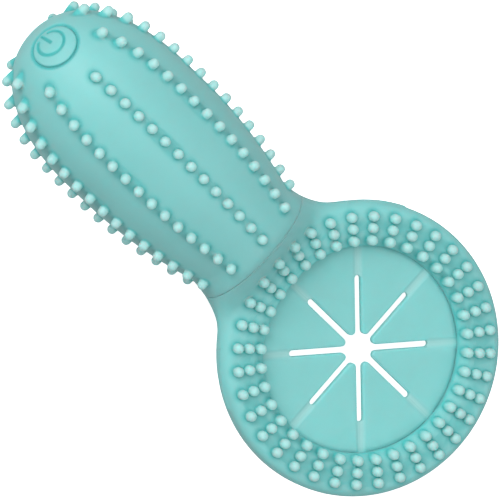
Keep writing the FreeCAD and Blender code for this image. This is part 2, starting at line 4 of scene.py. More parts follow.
import bpy
import numpy as np
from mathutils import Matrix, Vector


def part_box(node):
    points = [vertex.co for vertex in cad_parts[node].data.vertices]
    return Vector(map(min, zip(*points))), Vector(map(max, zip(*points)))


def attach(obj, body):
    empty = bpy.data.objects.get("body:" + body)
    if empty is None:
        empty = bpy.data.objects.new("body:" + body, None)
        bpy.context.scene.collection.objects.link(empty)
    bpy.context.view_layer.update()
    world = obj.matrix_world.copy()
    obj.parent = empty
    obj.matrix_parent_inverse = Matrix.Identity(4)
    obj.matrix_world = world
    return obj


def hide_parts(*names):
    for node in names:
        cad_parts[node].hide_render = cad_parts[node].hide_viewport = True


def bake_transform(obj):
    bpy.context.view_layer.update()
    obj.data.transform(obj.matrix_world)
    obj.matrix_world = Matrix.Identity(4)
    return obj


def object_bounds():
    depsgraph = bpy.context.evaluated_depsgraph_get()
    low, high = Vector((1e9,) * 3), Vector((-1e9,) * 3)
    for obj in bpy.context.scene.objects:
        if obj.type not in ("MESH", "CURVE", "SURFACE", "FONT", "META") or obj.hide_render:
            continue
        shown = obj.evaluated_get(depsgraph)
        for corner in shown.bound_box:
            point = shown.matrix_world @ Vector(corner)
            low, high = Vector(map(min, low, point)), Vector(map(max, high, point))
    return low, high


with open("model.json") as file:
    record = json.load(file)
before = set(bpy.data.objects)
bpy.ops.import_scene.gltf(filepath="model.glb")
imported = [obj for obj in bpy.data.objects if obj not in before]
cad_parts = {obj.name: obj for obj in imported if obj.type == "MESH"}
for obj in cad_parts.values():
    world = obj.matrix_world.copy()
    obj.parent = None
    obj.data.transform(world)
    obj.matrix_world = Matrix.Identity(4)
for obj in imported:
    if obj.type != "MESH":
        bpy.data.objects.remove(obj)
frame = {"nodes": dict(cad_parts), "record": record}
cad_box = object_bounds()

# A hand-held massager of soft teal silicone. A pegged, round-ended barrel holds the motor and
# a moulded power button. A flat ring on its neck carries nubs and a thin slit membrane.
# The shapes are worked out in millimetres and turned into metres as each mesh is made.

import openvdb
from mathutils import Matrix, Vector

MM = 0.001
MAX_TRIANGLES = 190_000


# ---------------------------------------------------------------- sizes, from the frame


def box_mm(node):
    low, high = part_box(node)
    return np.array(low) / MM, np.array(high) / MM


ring_low, ring_high = box_mm("ring_body")
sleeve_low, sleeve_high = box_mm("barrel_sleeve")
pad_low, pad_high = box_mm("button_pad")

RING_RAD = 0.5 * (ring_high[1] - ring_low[1])
RING_X = ring_low[0] + RING_RAD
SEAM_X = sleeve_low[0]
TIP_X = sleeve_high[0]
RING_BASE = -3.4
RING_TOP = 2.6
BORE_RAD = 20.4
MOUTH_RAD = 23.6
MOUTH_DROP = 1.5
RIM_ROUND = 2.2
FILM = 1.4

BARREL_RAD = 16.3
WAIST_RAD = 12.3
WAIST_POWER = 1.9
DOME_LEN = 26.0
DOME_POWER = 2.25
DOME_X = TIP_X - DOME_LEN
WIDE_X = DOME_X - 5.6
WAIST_X = WIDE_X - 27.0
TAIL_X = WAIST_X + 2.0
SKIN = 2.6

BARREL_ROWS = 10
PEG_RAD = 0.95
PEG_PITCH = 3.593
PEG_FIRST = SEAM_X + 4.1
PEG_STAND = 0.8
PEG_EXTRA = 0.7
PEG_GROW_X = DOME_X + 4.4
PEG_SUNK = 0.5
PEG_FILLET = 0.22

RING_COLUMNS = 36
NUB_RAD = 0.98
NUB_STAND = 1.0
NUB_LOW = RING_TOP + NUB_STAND
NUB_SUNK = 0.6
NUB_SLOPE_EXTRA = 0.45
NUB_SLOPE_RISE = 3.0
NUB_ROWS = (21.6, 24.0, 26.3)

PETALS = 8
SLIT_HALF = 0.6
SLIT_END = 14.4
CHANNEL_HALF = 1.15
CHANNEL_DEEP = 0.22
CHANNEL_HIGHLIGHT = 0.4
PETAL_TIP = 0.9
SECTOR_OVERLAP = 0.25

PLUG_RAD = 9.15
PLUG_LEN = 4.2
STEM_RAD = 3.9
STEM_START = 3.4
PADDLE_LEN = 6.0
PADDLE_HIGH = 3.6
SEAL_LEN = 1.2

BUTTON_TILT = math.radians(44.0)
BUTTON_RAD = 4.45
BUTTON_HOLE = 4.95
LEDGE_RAD = BUTTON_RAD - 0.02
PAD_THICK = 1.75
GROOVE_DEEP = 0.22
PORT_TILT = math.radians(-57.0)
PORT_RAD = 2.2

# The power symbol: an open arc, with a bar in its gap.
ARC_RAD = 2.7
ARC_GAP = math.radians(31.0)
BAR_LEN = 2.85
MARK_STEP = 0.9
MARK_HALF = 0.24
MARK_DEEP = 0.22

# Grid steps of the four shapes.
SLEEVE_STEP = 0.25
BUTTON_STEP = 0.11
RING_STEP = 0.2
SECTOR_STEP = 0.16

# Painted light in the silicone's colour: a painted highlight up a peg; painted shade round its
# foot, in a groove and along an edge.
TIP_FROM = 0.42
TIP_OVER = 0.4
TIP_BESIDE = 0.4
FOOT_REACH = 1.1
FOOT_POWER = 1.5
GROOVE_REACH = 0.25
EDGE_SHADE = 0.7
EDGE_REACH_RING = 0.7
EDGE_REACH_PETAL = 0.8
EDGE_LOW = -0.6


# ---------------------------------------------------------------- signed distance fields


def smooth_min(a, b, soft):
    h = np.maximum(soft - np.abs(a - b), 0.0) / soft
    return np.minimum(a, b) - 0.25 * soft * h * h


def smooth_max(a, b, soft):
    return -smooth_min(-a, -b, soft)


def smooth_step(t):
    t = np.clip(t, 0.0, 1.0)
    return t * t * t * (t * (6.0 * t - 15.0) + 10.0)


class Field:
    """Signed distance on a regular grid in millimetres, negative inside the silicone.

    Two more grids hold painted light: how strong the painted highlight up a peg (tip) and the
    painted shade (foot) are.
    """

    def __init__(self, low, high, step):
        self.low = np.array(low, np.float32)
        self.step = step
        self.axes = [np.arange(a, b, step, dtype=np.float32) for a, b in zip(low, high)]
        self.d = np.full([len(a) for a in self.axes], 3.0 * step, np.float32)
        self.tip = np.zeros_like(self.d)
        self.foot = np.zeros_like(self.d)

    def coords(self):
        x, y, z = self.axes
        return x[:, None, None], y[None, :, None], z[None, None, :]

    def block(self, centre, reach):
        """The part of the grid within `reach` of a point: its slices and its coordinates."""
        spans = []
        for axis, middle in zip(self.axes, centre):
            first = int(np.searchsorted(axis, middle - reach))
            last = int(np.searchsorted(axis, middle + reach))
            spans.append(slice(first, last))
        x, y, z = (axis[span] for axis, span in zip(self.axes, spans))
        return tuple(spans), (x[:, None, None], y[None, :, None], z[None, None, :])

    def add_peg(self, foot, tip, radius, soft):
        """Round-ended peg from foot to tip, with a small fillet where it stands."""
        foot = np.array(foot)
        run = np.array(tip) - foot
        spans, (x, y, z) = self.block(foot + 0.5 * run, 0.5 * np.linalg.norm(run) + radius + 2.0)
        px, py, pz = x - foot[0], y - foot[1], z - foot[2]
        t = np.clip((px * run[0] + py * run[1] + pz * run[2]) / run.dot(run), 0.0, 1.0)
        peg = np.sqrt((px - t * run[0]) ** 2 + (py - t * run[1]) ** 2 + (pz - t * run[2]) ** 2)
        self.d[spans] = smooth_min(self.d[spans], peg - radius, soft)
        # Painted highlight up the peg's round end, and painted shade round its foot.
        pale = smooth_step((t - TIP_FROM) / TIP_OVER) * (peg < radius + TIP_BESIDE)
        near = np.clip(1.0 - np.abs(peg - radius) / FOOT_REACH, 0.0, 1.0)
        self.tip[spans] = np.maximum(self.tip[spans], pale)
        self.foot[spans] = np.maximum(self.foot[spans], near ** FOOT_POWER * (1.0 - pale))

    def sample(self, points, grid=None):
        """Distance, or another grid, at points given in steps, by linear interpolation."""
        grid = self.d if grid is None else grid
        shape = np.array(grid.shape)
        cell = np.clip(np.floor(points).astype(int), 0, shape - 2)
        f = points - cell
        total = np.zeros(len(points))
        for dx in (0, 1):
            for dy in (0, 1):
                for dz in (0, 1):
                    weight = ((f[:, 0] if dx else 1.0 - f[:, 0])
                              * (f[:, 1] if dy else 1.0 - f[:, 1])
                              * (f[:, 2] if dz else 1.0 - f[:, 2]))
                    total += weight * grid[cell[:, 0] + dx, cell[:, 1] + dy, cell[:, 2] + dz]
        return total

    def settle(self, points):
        """Moves surface points along the gradient onto the zero level."""
        for _ in range(2):
            value = self.sample(points)
            slope = np.empty_like(points)
            for axis in range(3):
                nudge = np.zeros(3)
                nudge[axis] = 0.5
                slope[:, axis] = self.sample(points + nudge) - self.sample(points - nudge)
            length2 = np.maximum((slope * slope).sum(1), 0.2 * self.step ** 2)
            shift = slope * (value / length2)[:, None]
            points = points - np.clip(shift, -0.4, 0.4)
        return points

    def surface(self):
        """Vertices in millimetres and four-sided faces of the zero level."""
        grid = openvdb.FloatGrid(3.0)
        steps = np.clip(self.d / self.step, -3.0, 3.0).astype(np.float32)
        grid.copyFromArray(steps, tolerance=0.0)
        grid.gridClass = openvdb.GridClass.LEVEL_SET
        points, quads = grid.convertToQuads(isovalue=0.0)
        points = self.settle(points.astype(float))
        return points * self.step + self.low, quads[:, ::-1]


def make_mesh(name, points, quads, turn=0.0):
    """Smooth-shaded object from vertices in millimetres, turned about the ring's axis."""
    mesh = bpy.data.meshes.new(name)
    mesh.vertices.add(len(points))
    mesh.loops.add(4 * len(quads))
    mesh.polygons.add(len(quads))
    mesh.loops.foreach_set("vertex_index", quads.astype(np.int32).ravel())
    mesh.polygons.foreach_set("loop_start", np.arange(0, 4 * len(quads), 4, dtype=np.int32))
    mesh.vertices.foreach_set("co", (points * MM).astype(np.float32).ravel())
    mesh.update(calc_edges=True)
    mesh.validate()
    mesh.shade_smooth()
    if turn:
        centre = Matrix.Translation((RING_X * MM, 0.0, 0.0))
        mesh.transform(centre @ Matrix.Rotation(turn, 4, "Z") @ centre.inverted())
    piece = bpy.data.objects.new(name, mesh)
    bpy.context.scene.collection.objects.link(piece)
    if 2 * len(quads) > MAX_TRIANGLES:
        thin(piece, MAX_TRIANGLES / (2 * len(quads)))
    return piece


def store(mesh, name, values):
    """Keeps a value on each vertex, for the material to read."""
    mesh.attributes.new(name, "FLOAT", "POINT")
    mesh.attributes[name].data.foreach_set("value", values.astype(np.float32))


def store_painted_light(piece, field):
    """Stores the painted light: a painted highlight up a peg; painted shade round its foot, in a
    groove or at an edge.
    """
    mesh = piece.data
    places = np.empty(3 * len(mesh.vertices), np.float32)
    mesh.vertices.foreach_get("co", places)
    points = (places.reshape(-1, 3) / MM - field.low) / field.step
    store(mesh, "painted_highlight", field.sample(points, field.tip))
    store(mesh, "painted_shade", field.sample(points, field.foot))
    return piece


def thin(piece, ratio):
    """Merges faces where the surface is nearly flat, down to a share of their number."""
    modifier = piece.modifiers.new("thin", "DECIMATE")
    modifier.ratio = ratio
    depsgraph = bpy.context.evaluated_depsgraph_get()
    mesh = bpy.data.meshes.new_from_object(piece.evaluated_get(depsgraph))
    piece.modifiers.clear()
    piece.data = mesh
    mesh.name = piece.name
    mesh.shade_smooth()


# ---------------------------------------------------------------- barrel and neck


def barrel_radius(x):
    low = (WIDE_X - np.maximum(x, TAIL_X)) / (WIDE_X - WAIST_X)
    waist = BARREL_RAD - (BARREL_RAD - WAIST_RAD) * np.maximum(low, 0.0) ** WAIST_POWER
    high = np.clip((x - DOME_X) / DOME_LEN, 0.0, 1.0)
    return waist * (1.0 - high ** DOME_POWER) ** (1.0 / DOME_POWER)


WAIST = float(barrel_radius(TAIL_X))
FILLET = 17.0
FILLET_END = RING_X + 22.07
SLOPE_START = RING_X + 33.0
SLOPE_END = RING_X + 22.0
NECK_LOW = 3.4
NECK_BURIED = 1.5
NECK_RUN_OUT = 7.5
NECK_START = RING_X + 13.0


def neck_half_width(x):
    """In plan, a wide fillet runs from the waist to the ring's edge."""
    fillet = WAIST + FILLET - np.sqrt(FILLET ** 2 - np.clip(TAIL_X - x, 0.0, FILLET) ** 2)
    inside = np.sqrt(np.maximum(RING_RAD ** 2 - (x - RING_X) ** 2, 1.0)) - 0.3
    return np.where(x < FILLET_END, inside, fillet)


def neck_half_height(x):
    """From the side, the neck falls in one smooth step and dies out on the ring's top."""
    rise = smooth_step((x - SLOPE_END + NECK_RUN_OUT) / NECK_RUN_OUT)
    low = NECK_BURIED + (NECK_LOW - NECK_BURIED) * rise
    back = (WIDE_X - x) / (WIDE_X - WAIST_X)
    high = BARREL_RAD - (BARREL_RAD - WAIST_RAD) * back ** WAIST_POWER
    return low + (high - low) * smooth_step((x - SLOPE_END) / (SLOPE_START - SLOPE_END))


def round_distance(x, rho, inset):
    """Distance to the round barrel in the half plane of x and radius."""
    body = rho - barrel_radius(np.minimum(x, DOME_X)) + inset
    u = np.maximum(x - DOME_X, 0.0) / (DOME_LEN - inset)
    v = rho / (BARREL_RAD - inset)
    reach = np.maximum((u ** DOME_POWER + v ** DOME_POWER) ** (1.0 / DOME_POWER), 0.05)
    slope_u = (u / reach) ** (DOME_POWER - 1.0) / (DOME_LEN - inset)
    slope_v = (v / reach) ** (DOME_POWER - 1.0) / (BARREL_RAD - inset)
    dome = (reach - 1.0) / np.maximum(np.hypot(slope_u, slope_v), 0.02)
    return np.where(x > DOME_X, dome, body)


def barrel_distance(field, inset=0.0):
    """The barrel's distance on the whole grid; behind the tail it takes the neck's oval."""
    xs, ys, zs = field.axes
    radii = np.arange(0.0, 30.0, 0.1, dtype=np.float32)
    made = np.empty_like(field.d)
    for i, x in enumerate(xs):
        row = round_distance(np.full_like(radii, x), radii, inset)
        flare_y = WAIST / neck_half_width(x) if x < TAIL_X else 1.0
        flare_z = WAIST / neck_half_height(x) if x < TAIL_X else 1.0
        rho = np.hypot(ys[:, None] * flare_y, zs[None, :] * flare_z)
        made[i] = np.interp(rho, radii, row)
    return made


def tilted(angle):
    return np.array([math.cos(angle), 0.0, math.sin(angle)])


BUTTON_DIR = tilted(BUTTON_TILT)
BUTTON_X = TIP_X - 2.0
BUTTON_TOP = np.array([BUTTON_X, 0.0, float(barrel_radius(BUTTON_X))])
PORT_DIR = tilted(PORT_TILT)
PORT_X = TIP_X - 6.4
PORT_TOP = np.array([PORT_X, 0.0, -float(barrel_radius(PORT_X))])


def off_axis(coords, top, direction):
    """Distance of each point from a line through `top`."""
    p = [c - t for c, t in zip(coords, top)]
    along = sum(c * n for c, n in zip(p, direction))
    return np.sqrt(np.maximum(sum(c * c for c in p) - along * along, 0.0))


def peg_count(row):
    """Pegs in a row; the button shortens the top rows and the charging port the lowest."""
    steps = min(row, BARREL_ROWS - row)
    return (14, 15, 16, 16, 16, 13)[steps]


def add_barrel_pegs(field):
    for row in range(BARREL_ROWS):
        angle = 2.0 * math.pi * row / BARREL_ROWS
        out = np.array([0.0, math.sin(angle), math.cos(angle)])
        for i in range(peg_count(row)):
            x = PEG_FIRST + PEG_PITCH * i
            surface = float(barrel_radius(x))
            grow = max(x - PEG_GROW_X, 0.0) / (BUTTON_X - PEG_GROW_X)
            base = np.array([x, 0.0, 0.0])
            tip = base + out * (surface + PEG_STAND + PEG_EXTRA * grow)
            field.add_peg(base + out * (surface - PEG_SUNK), tip, PEG_RAD, PEG_FILLET)


def groove_shade(distance):
    """Painted shade: full in a groove, and fading out just beside it."""
    return np.clip(1.0 - distance / GROOVE_REACH, 0.0, 1.0)


def make_sleeve():
    reach = BARREL_RAD + 2.6
    low, high = (SEAM_X - 1.0, -reach, -reach), (TIP_X + 1.5, reach, reach)
    field = Field(low, high, SLEEVE_STEP)
    x, y, z = field.coords()
    outer = barrel_distance(field)
    field.d = outer.copy()
    add_barrel_pegs(field)
    field.d = smooth_max(field.d, SEAM_X - x + 0.0 * y * z, 0.12)

    core = np.maximum(barrel_distance(field, SKIN), TAIL_X - x)
    plug_hole = np.maximum(np.hypot(y, z) - PLUG_RAD - 0.1, x - TAIL_X - 1.0)
    field.d = np.maximum(field.d, -np.minimum(core, plug_hole))

    spans, coords = field.block(BUTTON_TOP, 9.0)
    off = off_axis(coords, BUTTON_TOP, BUTTON_DIR)
    groove = np.maximum(off - BUTTON_HOLE, -outer[spans] - GROOVE_DEEP)
    opening = smooth_min(groove, off - LEDGE_RAD, 0.1)
    field.d[spans] = smooth_max(field.d[spans], -opening, 0.15)
    # Painted shade in the groove round the button.
    middle = 0.5 * (BUTTON_RAD + BUTTON_HOLE)
    button_groove_shade = groove_shade(np.abs(off - middle) - 0.5 * (BUTTON_HOLE - BUTTON_RAD))
    field.foot[spans] = np.maximum(field.foot[spans], button_groove_shade)

    spans, coords = field.block(PORT_TOP, 7.0)
    off = off_axis(coords, PORT_TOP, PORT_DIR)
    field.d[spans] = smooth_max(field.d[spans], PORT_RAD - off, 0.5)
    return store_painted_light(make_mesh("sleeve_skin", *field.surface()), field)


def power_mark(coords):
    """Distance, across the button's face, to an open arc with a bar in its gap."""
    p = [c - t for c, t in zip(coords, BUTTON_TOP)]
    a = p[0] * math.sin(BUTTON_TILT) - p[2] * math.cos(BUTTON_TILT) - MARK_STEP + 0.0 * p[1]
    b = np.abs(p[1]) + 0.0 * a
    rho = np.hypot(a, b)
    turn = np.arctan2(b, a)
    end_a, end_b = ARC_RAD * math.cos(ARC_GAP), ARC_RAD * math.sin(ARC_GAP)
    arc = np.where(turn > ARC_GAP, np.abs(rho - ARC_RAD), np.hypot(a - end_a, b - end_b))
    bar = np.hypot(a - np.clip(a, 0.0, BAR_LEN), b)
    return np.minimum(arc, bar) - MARK_HALF


def make_button():
    centre = 0.5 * (pad_low + pad_high)
    field = Field(centre - 7.5, centre + 8.5, BUTTON_STEP)
    x, y, z = field.coords()
    dome = barrel_distance(field)
    off = off_axis((x, y, z), BUTTON_TOP, BUTTON_DIR)
    pad = smooth_max(dome, off - BUTTON_RAD, 0.4)
    pad = np.maximum(pad, -dome - PAD_THICK)
    across = power_mark((x, y, z))
    field.d = smooth_max(pad, -smooth_max(across, -dome - MARK_DEEP, 0.15), 0.15)
    # Painted shade in the power symbol's groove and round the pad's edge.
    tint = np.maximum(groove_shade(across), groove_shade(BUTTON_RAD - off))
    field.foot = tint.astype(np.float32)
    return store_painted_light(make_mesh("button_skin", *field.surface()), field)


# ---------------------------------------------------------------- ring and membrane


def ring_distance(x, y, z):
    """Disc with a rounded rim; its top curves down to the bore."""
    r = np.hypot(x - RING_X, y)
    half = 0.5 * (RING_TOP - RING_BASE)
    out = r - (RING_RAD - RIM_ROUND)
    up = np.abs(z - RING_TOP + half) - (half - RIM_ROUND)
    rim = np.hypot(np.maximum(out, 0.0), np.maximum(up, 0.0))
    disc = rim + np.minimum(np.maximum(out, up), 0.0) - RIM_ROUND
    inside = np.clip((MOUTH_RAD - r) / (MOUTH_RAD - BORE_RAD), 0.0, 1.2)
    return smooth_max(disc, z - RING_TOP + MOUTH_DROP * inside ** 2, 0.3)


def neck_distance(field, x):
    """Oval neck: its rough distance is divided by its own slope."""
    rough = barrel_distance(field)
    slopes = np.gradient(rough, field.step)
    size = np.sqrt(sum(s * s for s in slopes))
    y = field.coords()[1]
    in_ring = np.hypot(x - RING_X, y) - RING_RAD + 0.25
    neck = np.maximum(rough / np.clip(size, 0.5, 3.0), NECK_START - x)
    return np.where(x < FILLET_END - 0.5, np.maximum(neck, in_ring), neck)


def surface_height(field, x, y):
    """Height of the upper surface over a point."""
    i, j = (int(round((v - low) / field.step)) for v, low in zip((x, y), field.low))
    column = field.d[i, j]
    top = int(np.nonzero(column < 0.0)[0][-1])
    share = column[top] / (column[top] - column[top + 1])
    return field.low[2] + field.step * (top + share)


def make_ring():
    low = (RING_X - RING_RAD - 1.0, -RING_RAD - 1.0, -WAIST - 1.2)
    high = (SEAM_X + PLUG_LEN + 1.0, RING_RAD + 1.0, WAIST + 1.8)
    field = Field(low, high, RING_STEP)
    x, y, z = field.coords()
    neck = neck_distance(field, x)
    body = smooth_min(ring_distance(x, y, z), neck, 1.4)
    body = smooth_max(body, x - SEAM_X + 0.0 * y * z, 0.12)
    field.d = smooth_max(body, BORE_RAD - np.hypot(x - RING_X, y) + 0.0 * z, 0.35)

    tops = []
    for row in NUB_ROWS:
        for column in range(RING_COLUMNS):
            angle = 2.0 * math.pi * column / RING_COLUMNS
            px, py = RING_X + row * math.cos(angle), row * math.sin(angle)
            tops.append((px, py, surface_height(field, px, py)))
    for px, py, top in tops:
        on_slope = min(max((top - RING_TOP) / NUB_SLOPE_RISE, 0.0), 1.0)
        tip = max(top + NUB_STAND + NUB_SLOPE_EXTRA * on_slope, NUB_LOW)
        field.add_peg((px, py, top - NUB_SUNK), (px, py, tip), NUB_RAD, PEG_FILLET)

    # Painted shade along the bore's edge.
    from_bore = np.hypot(x - RING_X, y) - BORE_RAD
    edge = np.clip(1.0 - np.abs(from_bore) / EDGE_REACH_RING, 0.0, 1.0) * (z > EDGE_LOW)
    field.foot = np.maximum(field.foot, EDGE_SHADE * edge.astype(np.float32))
    plug_half = 0.5 * (PLUG_LEN + 1.0)
    plug = np.abs(x - SEAM_X + 1.0 - plug_half) - plug_half
    plug = np.maximum(np.hypot(y, z) - PLUG_RAD, plug)
    field.d = np.minimum(field.d, plug)
    field.d = np.maximum(field.d, -anchor_room(x, y, z))
    return store_painted_light(make_mesh("ring_skin", *field.surface()), field)


def anchor_room(x, y, z):
    """Space in the neck for the moulded-in anchor and the sealing ring round its stem."""
    low, high = box_mm("neck_anchor")
    paddle = np.maximum(np.abs(y) - high[1], np.abs(z) - 0.5 * PADDLE_HIGH)
    half = 0.5 * PADDLE_LEN
    paddle = np.maximum(paddle, np.abs(x - low[0] - half) - half)
    stem = np.maximum(np.hypot(y, z) - STEM_RAD, low[0] + STEM_START - x)
    low, high = box_mm("stem_seal")
    half = 0.5 * SEAL_LEN
    groove = np.maximum(np.hypot(y, z) - high[1], np.abs(x - low[0] - half) - half)
    return np.minimum(np.minimum(paddle, stem), groove)


def sector_surface():
    """One eighth of the membrane, pointing at the centre along +X, with half a slit each side."""
    half_angle = math.pi / PETALS
    low, high = (1.8, -9.6, -FILM - 0.8), (BORE_RAD + 2.0, 9.6, 0.8)
    field = Field(low, high, SECTOR_STEP)
    x, y, z = field.coords()
    side = np.abs(y)
    along = x * math.cos(half_angle) + side * math.sin(half_angle)
    from_slit = x * math.sin(half_angle) - side * math.cos(half_angle)
    apex = (SLIT_HALF + PETAL_TIP) / math.sin(half_angle)
    forward = (x - apex) * math.cos(half_angle) + side * math.sin(half_angle)
    inward = (x - apex) * math.sin(half_angle) - side * math.cos(half_angle)
    tongue = np.where(forward > 0.0, -inward, np.hypot(x - apex, side)) - PETAL_TIP
    slit_end = SLIT_END - SLIT_HALF
    beyond = np.maximum(slit_end - along, SLIT_HALF - np.hypot(along - slit_end, from_slit))
    plan = np.maximum(np.minimum(tongue, beyond), np.hypot(x, y) - BORE_RAD - 1.0)
    ramp = (CHANNEL_HALF - from_slit) / (CHANNEL_HALF - 0.5 * SLIT_HALF)
    top = z + CHANNEL_DEEP * smooth_step(ramp) + np.maximum(-from_slit, 0.0)
    body = smooth_max(smooth_max(plan + 0.0 * z, top, 0.2), -FILM - z, 0.2)
    field.d = np.maximum(body, -from_slit - SECTOR_OVERLAP)
    return field.surface()


def make_petals():
    """Eight sectors of the membrane, each standing in for one petal.

    Where two sectors meet under a channel, "joined" is 1 and the subsurface light is off.
    """
    points, quads = sector_surface()
    half_angle = math.pi / PETALS
    radius = np.hypot(points[:, 0], points[:, 1])
    from_slit = points[:, 0] * math.sin(half_angle) - np.abs(points[:, 1]) * math.cos(half_angle)
    strip = radius > SLIT_END - 0.5 * SLIT_HALF
    # Painted highlight along the channel beside each slit.
    pale = np.clip(1.5 - from_slit / SLIT_HALF, 0.0, 1.0) * strip
    joined = np.clip(2.2 - from_slit / SLIT_HALF, 0.0, 1.0) * strip
    # Painted shade along the bore's edge.
    from_bore = np.abs(radius - BORE_RAD)
    edge = EDGE_SHADE * np.clip(1.0 - from_bore / EDGE_REACH_PETAL, 0.0, 1.0)
    points[:, 0] += RING_X
    made = []
    for index in range(PETALS):
        angle = 2.0 * math.pi * (index + 0.5) / PETALS
        petal = make_mesh("petal_skin_%d" % (index + 1), points, quads, angle)
        store(petal.data, "painted_highlight", CHANNEL_HIGHLIGHT * pale)
        store(petal.data, "painted_shade", edge)
        store(petal.data, "joined", joined)
        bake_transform(petal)
        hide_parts("petal_%d" % (index + 1))
        made.append(petal)
    return made


# ---------------------------------------------------------------- materials


class Shader:
    """A node material: one Principled shader and small helpers that feed it."""

    def __init__(self, name):
        self.material = bpy.data.materials.new(name)
        self.material.use_nodes = True
        self.tree = self.material.node_tree
        self.principled = self.tree.nodes["Principled BSDF"]
        self.place = self.tree.nodes.new("ShaderNodeTexCoord").outputs["Object"]

    def set(self, **values):
        for key, value in values.items():
            self.principled.inputs[key.replace("_", " ")].default_value = value

    def noise(self, scale, detail=3.0, roughness=0.55):
        node = self.tree.nodes.new("ShaderNodeTexNoise")
        node.inputs["Scale"].default_value = scale
        node.inputs["Detail"].default_value = detail
        node.inputs["Roughness"].default_value = roughness
        self.tree.links.new(self.place, node.inputs["Vector"])
        return node.outputs["Fac"]

    def cells(self, scale):
        node = self.tree.nodes.new("ShaderNodeTexVoronoi")
        node.inputs["Scale"].default_value = scale
        self.tree.links.new(self.place, node.inputs["Vector"])
        return node.outputs["Distance"]

    def ramp(self, factor, stops):
        """Colour ramp: stops are pairs of place and colour."""
        node = self.tree.nodes.new("ShaderNodeValToRGB")
        elements = node.color_ramp.elements
        while len(elements) < len(stops):
            elements.new(0.5)
        for element, (place, colour) in zip(elements, stops):
            element.position = place
            element.color = (*colour, 1.0)
        self.tree.links.new(factor, node.inputs["Fac"])
        return node.outputs["Color"]

    def spread(self, factor, low, high):
        """Maps a factor from 0..1 to low..high."""
        node = self.tree.nodes.new("ShaderNodeMapRange")
        node.inputs["To Min"].default_value = low
        node.inputs["To Max"].default_value = high
        self.tree.links.new(factor, node.inputs["Value"])
        return node.outputs["Result"]

    def stored(self, name):
        """A value stored on the mesh; it is 0 where a mesh has none."""
        node = self.tree.nodes.new("ShaderNodeAttribute")
        node.attribute_name = name
        return node.outputs["Fac"]

    def tint(self, under, attribute, colour):
        """Mixes a colour over another by a value stored on the mesh."""
        node = self.tree.nodes.new("ShaderNodeMix")
        node.data_type = "RGBA"
        factor, first, second = (node.inputs[i] for i in (0, 6, 7))
        second.default_value = (*colour, 1.0)
        self.tree.links.new(self.stored(attribute), factor)
        self.tree.links.new(under, first)
        return node.outputs[2]

    def feed(self, socket, output):
        self.tree.links.new(output, self.principled.inputs[socket])

    def bump(self, height, strength, distance):
        node = self.tree.nodes.new("ShaderNodeBump")
        node.inputs["Strength"].default_value = strength
        node.inputs["Distance"].default_value = distance
        self.tree.links.new(height, node.inputs["Height"])
        self.feed("Normal", node.outputs["Normal"])


def shade(colour, factor):
    return tuple(min(c * factor, 1.0) for c in colour)


def silicone():
    """Soft-touch silicone: matt, slightly translucent, with a very fine moulded grain."""
    teal = (0.262, 0.635, 0.625)
    shade_teal = (0.09, 0.53, 0.52)
    pale = (0.42, 0.68, 0.66)
    made = Shader("teal_silicone")
    tone = made.ramp(made.noise(90.0, 2.0), [(0.3, shade(teal, 0.98)), (0.7, shade(teal, 1.02))])
    # Painted shade: a stronger teal round each peg's foot, in the grooves and along the bore's
    # edge.
    shaded_tone = made.tint(tone, "painted_shade", shade_teal)
    # Painted highlight: a lighter teal up each peg and along the membrane's channels.
    made.feed("Base Color", made.tint(shaded_tone, "painted_highlight", pale))
    made.feed("Roughness", made.spread(made.noise(700.0), 0.44, 0.54))
    made.bump(made.noise(5200.0, 2.0), 0.10, 0.00002)
    made.feed("Subsurface Weight", made.spread(made.stored("joined"), 1.0, 0.0))
    made.set(Subsurface_Scale=0.0026, IOR=1.43, Specular_IOR_Level=0.5)
    made.set(Subsurface_Radius=(0.3, 1.0, 0.94), Sheen_Weight=0.12, Sheen_Roughness=0.4)
    return made.material


def moulded(name, colour, rough, grain=2600.0, depth=0.00003):
    """Injection-moulded plastic with a fine spark-eroded grain."""
    made = Shader(name)
    stops = [(0.3, shade(colour, 0.9)), (0.7, shade(colour, 1.08))]
    made.feed("Base Color", made.ramp(made.noise(180.0), stops))
    made.feed("Roughness", made.spread(made.noise(900.0), rough - 0.06, rough + 0.08))
    made.bump(made.cells(grain), 0.25, depth)
    return made.material


def metal(name, colour, rough):
    """Turned or drawn metal with faint scratches and handling marks."""
    made = Shader(name)
    marks = made.noise(420.0, 6.0, 0.7)
    made.feed("Base Color", made.ramp(marks, [(0.3, shade(colour, 0.82)), (0.65, colour)]))
    made.feed("Roughness", made.spread(marks, rough - 0.08, rough + 0.15))
    made.bump(made.noise(3000.0, 4.0), 0.15, 0.00001)
    made.set(Metallic=1.0)
    return made.material


def circuit_board():
    """Green solder mask with slightly paler areas over the copper."""
    made = Shader("solder_mask")
    made.feed("Base Color", made.ramp(made.cells(450.0), [
        (0.25, (0.012, 0.10, 0.045)), (0.32, (0.03, 0.17, 0.08)), (0.6, (0.018, 0.12, 0.055))]))
    made.feed("Roughness", made.spread(made.noise(500.0), 0.25, 0.42))
    made.bump(made.cells(450.0), 0.2, 0.00003)
    return made.material


def foil():
    """Crinkled aluminium laminate of the pouch cell."""
    made = Shader("cell_foil")
    creases = made.noise(260.0, 5.0, 0.6)
    stops = [(0.35, (0.45, 0.46, 0.48)), (0.7, (0.72, 0.73, 0.75))]
    made.feed("Base Color", made.ramp(creases, stops))
    made.feed("Roughness", made.spread(creases, 0.22, 0.42))
    made.bump(creases, 0.5, 0.0002)
    made.set(Metallic=0.9)
    return made.material


def foam():
    """Closed-cell foam with visible pores."""
    made = Shader("dark_foam")
    pores = made.cells(1500.0)
    stops = [(0.2, (0.02, 0.02, 0.022)), (0.6, (0.075, 0.075, 0.08))]
    made.feed("Base Color", made.ramp(pores, stops))
    made.feed("Roughness", made.spread(pores, 0.85, 0.98))
    made.bump(pores, 0.7, 0.0002)
    return made.material


